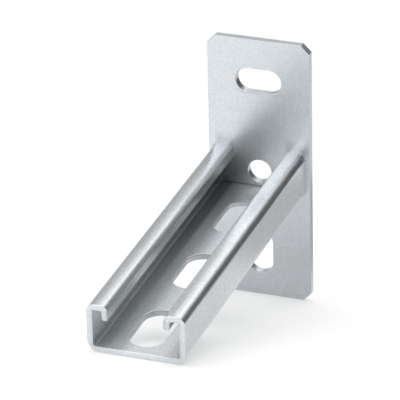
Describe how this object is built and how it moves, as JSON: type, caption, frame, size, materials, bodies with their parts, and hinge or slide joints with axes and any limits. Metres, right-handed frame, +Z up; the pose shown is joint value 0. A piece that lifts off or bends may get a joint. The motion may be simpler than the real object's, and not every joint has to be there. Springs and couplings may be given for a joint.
{
  "type": "strut cantilever bracket",
  "caption": "Cantilever arm of lipped steel strut, open side up with a slotted web, welded square onto a flat base plate with bolt slots.",
  "frame": {"origin": "centre of the base plate's back face, which goes against the wall", "axes": "+Y into the wall, so the arm reaches out along -Y; +Z up, the side the arm is open to; X across the plate"},
  "size_m": [0.045, 0.1535, 0.12],
  "materials": {
    "plate_zinc": "zinc-plated flat bar, satin, fine grain",
    "strut_zinc": "zinc-coated rolled strip, satin, fine grain along the arm",
    "weld_zinc": "zinc over a small smooth weld"
  },
  "bodies": {
    "root": {"base_plate": "plate_zinc", "arm_channel": "strut_zinc", "weld_bead": "weld_zinc"}
  },
  "joints": []
}
